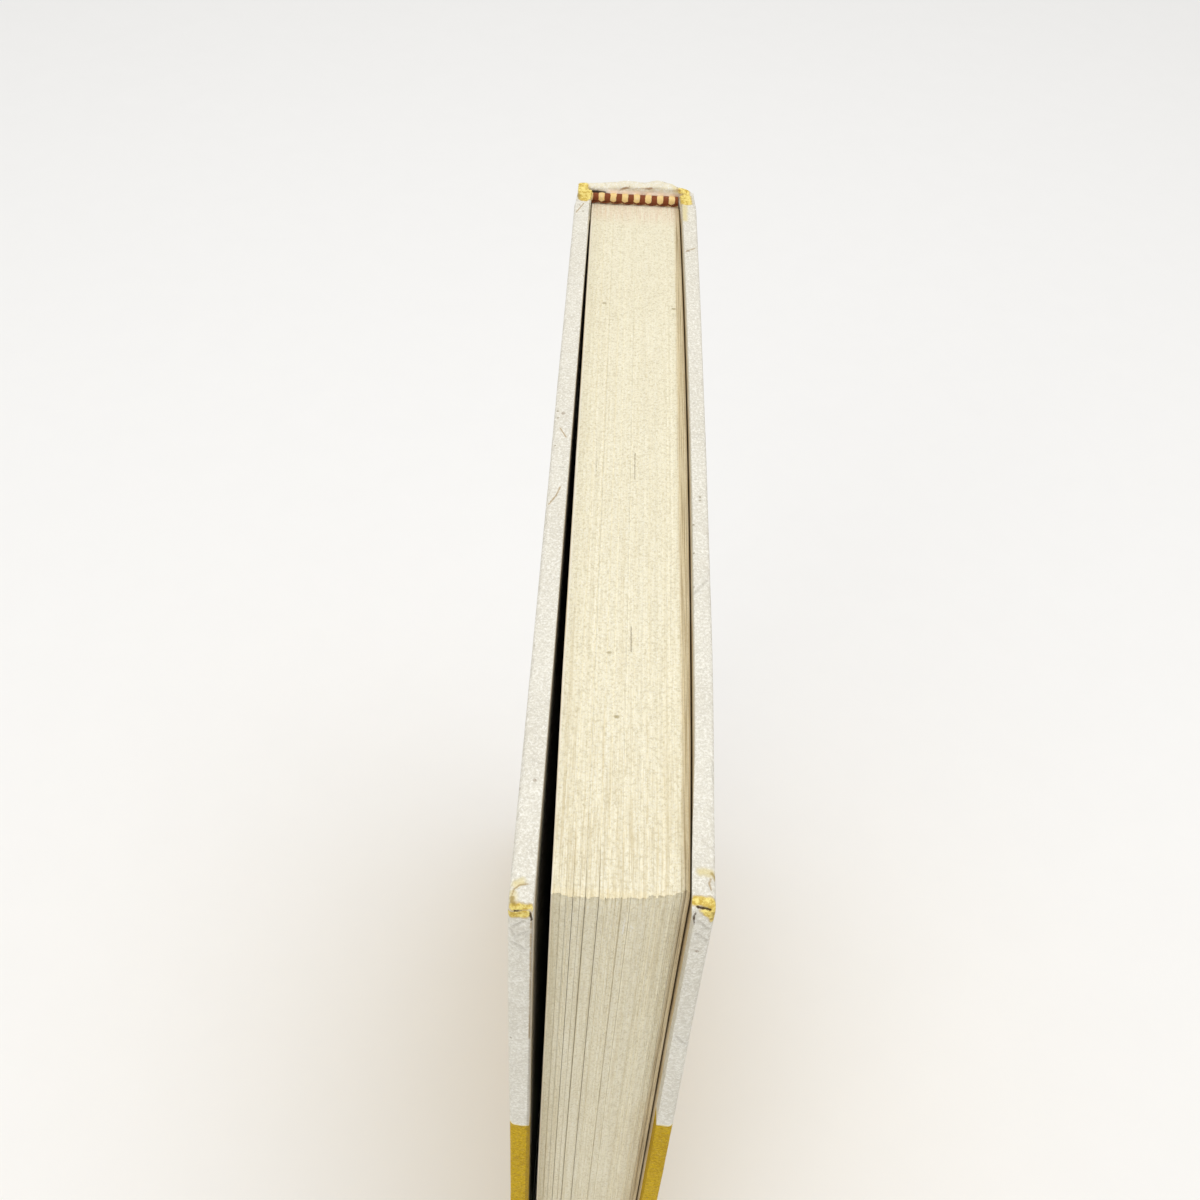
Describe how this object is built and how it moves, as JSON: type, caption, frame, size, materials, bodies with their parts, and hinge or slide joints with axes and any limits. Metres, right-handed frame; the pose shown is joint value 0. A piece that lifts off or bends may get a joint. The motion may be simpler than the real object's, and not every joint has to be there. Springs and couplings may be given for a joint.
{
  "type": "hardcover textbook",
  "caption": "Hardcover textbook standing on its tail, its front cover slightly ajar; both covers swing open on their joints.",
  "frame": {"origin": "on the surface that the book stands on, below the middle of its bounding box", "axes": "+X through the thickness from front cover to back cover, +Y from the fore-edge to the spine, +Z from tail to head"},
  "size_m": [0.027, 0.1726, 0.2412],
  "materials": {
    "page_paper": "matte",
    "end_paper": "matte",
    "lining_paper": "matte",
    "mull_cloth": "matte",
    "band_thread": "satin",
    "grey_board": "matte",
    "printed_covering": "satin"
  },
  "bodies": {
    "pages": {"text_block": "page_paper", "front_flyleaf": "end_paper", "back_flyleaf": "end_paper", "spine_mull": "mull_cloth", "spine_lining": "lining_paper", "head_band": "band_thread", "tail_band": "band_thread", "spine_strip": "grey_board", "spine_covering": "printed_covering"},
    "front_cover": {"front_board": "grey_board", "front_covering": "printed_covering", "front_mull_flap": "mull_cloth", "front_pastedown": "end_paper"},
    "back_cover": {"back_board": "grey_board", "back_covering": "printed_covering", "back_mull_flap": "mull_cloth", "back_pastedown": "end_paper"}
  },
  "joints": [
    {"name": "front_joint", "type": "hinge", "parent": "pages", "child": "front_cover", "pos_m": [-0.00901, 0.0827, 0], "axis": [0, 0, -1], "range_deg": [-0.5, 179.5]},
    {"name": "back_joint", "type": "hinge", "parent": "pages", "child": "back_cover", "pos_m": [0.01049, 0.0827, 0], "axis": [0, 0, 1], "range_deg": [0, 180]}
  ]
}
